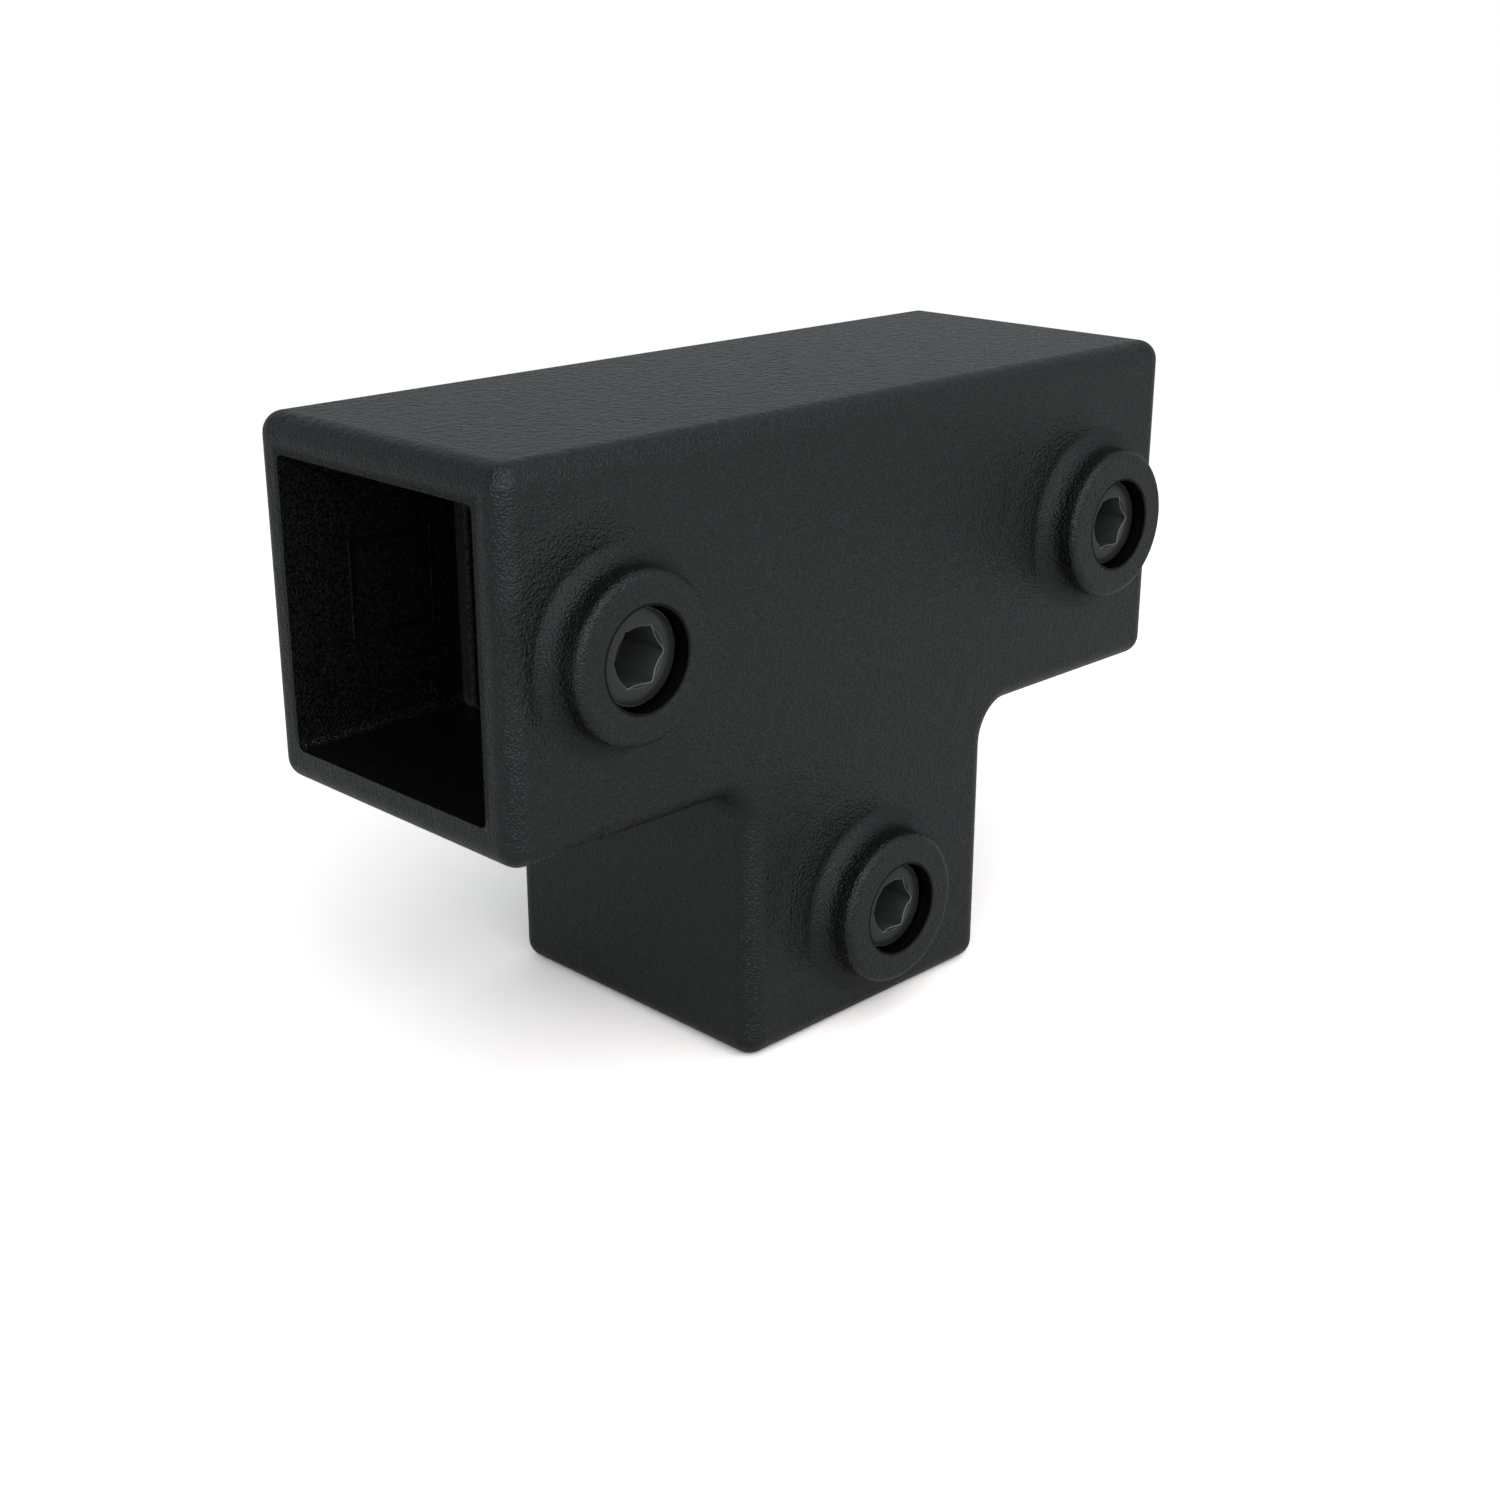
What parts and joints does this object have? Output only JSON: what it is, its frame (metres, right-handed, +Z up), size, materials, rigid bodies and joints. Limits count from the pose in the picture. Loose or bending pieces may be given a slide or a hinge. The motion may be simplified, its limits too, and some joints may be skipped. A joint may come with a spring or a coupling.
{
  "type": "square tube t-connector",
  "caption": "Black cast tee that joins square tubes: a hollow through arm and a lower arm, each with a round boss and a hex socket set screw that clamps the tube.",
  "frame": {"origin": "middle of the lower arm at its open end, which is also the plane it stands on", "axes": "+X along the through arm to the right as seen from the screw side, -Y out of the screw side, +Z up from the lower arm to the through arm"},
  "size_m": [0.131, 0.0561, 0.0911],
  "materials": {
    "black_coated_iron": "matte black coat over a fine sand-cast texture",
    "blackened_steel": "smooth satin black oxide"
  },
  "bodies": {
    "casting": {"cast_body": "black_coated_iron"},
    "left_screw": {"set_screw_left": "blackened_steel"},
    "right_screw": {"set_screw_right": "blackened_steel"},
    "leg_screw": {"set_screw_leg": "blackened_steel"}
  },
  "joints": [
    {"name": "left_screw_travel", "type": "slide", "parent": "casting", "child": "left_screw", "axis": [0, 1, 0], "range_m": [-0.0015, 0.005]},
    {"name": "right_screw_travel", "type": "slide", "parent": "casting", "child": "right_screw", "axis": [0, 1, 0], "range_m": [-0.0015, 0.005]},
    {"name": "leg_screw_travel", "type": "slide", "parent": "casting", "child": "leg_screw", "axis": [0, 1, 0], "range_m": [-0.0015, 0.005]}
  ]
}
